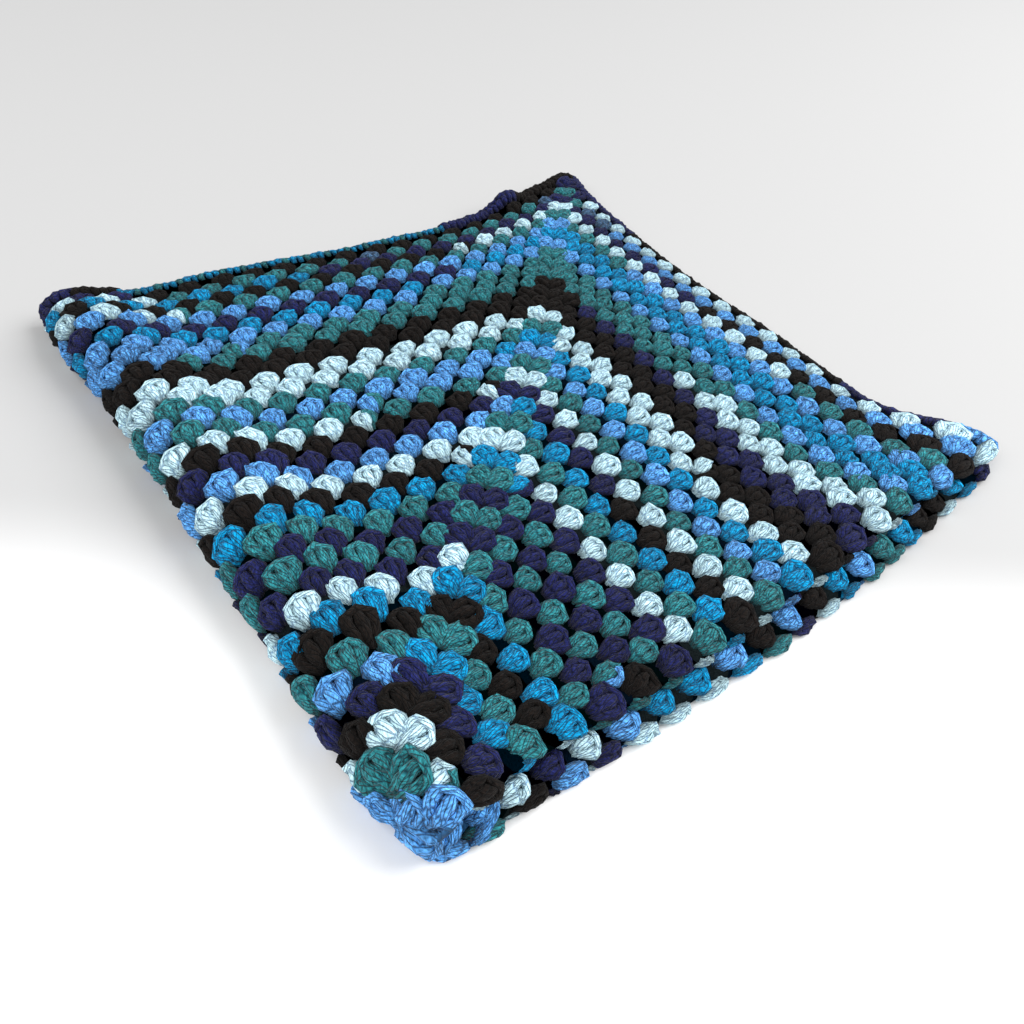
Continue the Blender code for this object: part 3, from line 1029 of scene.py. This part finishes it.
# painted shade: the yarn's colour darkens towards the middle of the cloth
shade = {
    "low": -0.0005,          # outward height at which the yarn is darkest
    "high": 0.0062,
    "darkest": 0.30,
}


def shadeDepth(mesh):
    # painted shade: how light the yarn is at each point, darker deep in the crochet
    outward = np.abs(readVectors(mesh.vertices, "co")[:, 2])
    share = ease((outward - shade["low"]) / (shade["high"] - shade["low"]))
    light = shade["darkest"] + (1 - shade["darkest"]) * share
    depth = mesh.attributes.new("depth", "FLOAT", "POINT")
    depth.data.foreach_set("value", light.astype(np.float32))


kindNames = {"front": "Clusters", "frontFirst": "FirstStitches", "frontLast": "LastStitches",
             "under": "UnderClusters", "inner": "InnerClusters", "edging": "Edging"}
pieces = []
for (letter, kind), points in sorted(batches.items()):
    worked = workBatch(letter, kind, points)
    shadeDepth(worked)
    foldMesh(worked)
    worked.shade_smooth()
    worked.name = yarns[letter]["name"] + kindNames[kind]
    pieces.append(linkObject(worked.name, worked))
for source in sources.values():
    for stitch in list(source.objects):
        bpy.data.objects.remove(stitch)
    bpy.data.collections.remove(source)
triangles = sum(len(polygon.vertices) - 2 for piece in pieces for polygon in piece.data.polygons)
print("clusters worked:", triangles, "triangles")

# the ground of the crochet: a thin sheet under the clusters, coloured in painted shade
ground = {
    "thickness": 0.0016,
    "foldLines": [0.0015, 0.0030, 0.0045, 0.0062, 0.009],
    "halfRounds": 4,         # lines halfway through the first rounds too
    "shadedShare": 0.022,       # painted shade: share of the yarn's colour left between the clusters
    "centreShadedShare": 0.30,  # and where the first rounds close over the centre
    "centreReach": 0.024,
    "roughness": 0.95,
    "grainScale": 900.0,
    "bumpStrength": 0.6,
    "bumpDistance": 0.001,
}


def groundLines():
    lines = {0.0, halfSide}
    lines.update(ground["foldLines"])
    lines.update(roundHeight * ring for ring in range(1, crochet["rounds"] + 1))
    lines.update(roundHeight * (ring + 0.5) for ring in range(ground["halfRounds"]))
    return sorted({round(side * line, 6) for line in lines for side in (-1, 1)})    # to a micrometre


# painted shade: each cell takes its round's yarn, darkened as the shade between the clusters
def groundShadeColour(along, across):
    reach = max(abs(along), abs(across))
    ring = min(int(reach / roundHeight) + 1, crochet["rounds"])
    if abs(across) >= abs(along):
        side, place = (0, along) if across > 0 else (2, -along)
    else:
        side, place = (1, across) if along > 0 else (3, -across)
    letters = clusterColour(side, ring, round(place / roundHeight))
    left = ground["centreShadedShare"] if reach < ground["centreReach"] else ground["shadedShare"]
    return [part * left for part in toLinear(yarns[letters[-1]]["colour"])]


def groundMaterial():
    material, tree, shader = startMaterial("yarnBetween")
    colour = addNode(tree, "ShaderNodeAttribute", {"attribute_name": "colour"}).outputs["Color"]
    coordinates = addNode(tree, "ShaderNodeTexCoord")
    grain = addNode(tree, "ShaderNodeTexNoise", inputs={
        "Vector": coordinates.outputs["Object"], "Scale": ground["grainScale"]}).outputs["Fac"]
    # the cells' painted shade, with a grain
    feedNode(tree, shader, {
        "Base Color": mixColours(tree, "MULTIPLY", colour, grain),
        "Normal": addBump(tree, grain, ground),
        "Roughness": ground["roughness"],
        "Specular IOR Level": 0.0,
    })
    return material


def makeGround():
    lines = groundLines()
    cells = len(lines) - 1
    build = bmesh.new()
    bmesh.ops.create_grid(build, x_segments=cells, y_segments=cells, size=1.0)
    for vertex in build.verts:
        for axis in (0, 1):
            vertex.co[axis] = lines[round((vertex.co[axis] + 1) / 2 * cells)]
    mesh = bpy.data.meshes.new("ground")
    build.to_mesh(mesh)
    build.free()
    colours = []
    for polygon in mesh.polygons:
        colours += [*groundShadeColour(polygon.center.x, polygon.center.y), 1.0] * polygon.loop_total
    attribute = mesh.color_attributes.new("colour", "FLOAT_COLOR", "CORNER")
    attribute.data.foreach_set("color", colours)
    flat = linkObject("flatGround", mesh)
    solid = flat.modifiers.new("thickness", "SOLIDIFY")
    solid.thickness = ground["thickness"]
    solid.offset = 0.0
    folded = plainMesh(flat)
    foldMesh(folded)
    folded.name = "blanketGround"
    folded.materials.clear()
    folded.materials.append(groundMaterial())
    folded.shade_smooth()
    return linkObject("blanketGround", folded)


blanketGround = makeGround()
print("ground folded")

for piece in pieces + [blanketGround]:
    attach(piece, "root")
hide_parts("blanket")

# the studio
studio = {
    "floorSize": 12.0,
    "floorBackShade": (0.75, 0.75, 0.75),     # painted shade: the floor fades from grey at the back to white in front
    "floorFront": (0.97, 0.97, 0.97),
    "fadeTurn": math.radians(54),
    "fadeFrom": -0.25,       # metres from the middle of the blanket, away from the camera
    "fadeTo": -0.12,
    "floorDrop": 0.0002,     # the floor lies this far below the blanket
    "floorRoughness": 0.7,
    "world": 0.46,
    "key": {"place": (2.3, -0.9, 2.7), "size": 2.6, "power": 140.0},
    "fill": {"place": (-1.8, 0.3, 2.2), "size": 2.4, "power": 52.0},
}


def makeFloor():
    material, tree, shader = startMaterial("paleFloor")
    coordinates = addNode(tree, "ShaderNodeTexCoord")
    turn = addNode(tree, "ShaderNodeMapping", inputs={
        "Vector": coordinates.outputs["Object"], "Rotation": (0.0, 0.0, -studio["fadeTurn"])})
    depth = addNode(tree, "ShaderNodeSeparateXYZ", inputs={"Vector": turn.outputs["Vector"]})
    # painted shade: the floor darkens towards the back
    fade = addNode(tree, "ShaderNodeMapRange", {"interpolation_type": "SMOOTHSTEP"}, {
        "Value": depth.outputs["X"], "From Min": studio["fadeFrom"], "From Max": studio["fadeTo"]})
    front, back = ((*toLinear(studio[key]), 1.0) for key in ("floorFront", "floorBackShade"))
    feedNode(tree, shader, {
        "Base Color": mixColours(tree, "MIX", front, back, fade.outputs["Result"]),
        "Roughness": studio["floorRoughness"],
    })
    reach = studio["floorSize"] / 2
    mesh = bpy.data.meshes.new("floor")
    mesh.from_pydata([(x * reach, y * reach, -studio["floorDrop"])
                      for x, y in ((-1, -1), (1, -1), (1, 1), (-1, 1))], [], [(0, 1, 2, 3)])
    mesh.materials.append(material)
    linkObject("floor", mesh)


def makeLight(name, settings):
    data = bpy.data.lights.new(name, "AREA")
    data.size = settings["size"]
    data.energy = settings["power"]
    light = linkObject(name, data)
    light.location = settings["place"]
    light.rotation_euler = (-light.location).to_track_quat("-Z", "Y").to_euler()


def makeWorld():
    world = bpy.data.worlds.new("studioLight")
    world.use_nodes = True
    background = world.node_tree.nodes["Background"]
    background.inputs["Color"].default_value = (1.0, 1.0, 1.0, 1.0)
    background.inputs["Strength"].default_value = studio["world"]
    bpy.context.scene.world = world


makeFloor()
makeLight("keyLight", studio["key"])
makeLight("fillLight", studio["fill"])
makeWorld()
bpy.context.scene.view_settings.view_transform = "Standard"
print("studio ready")
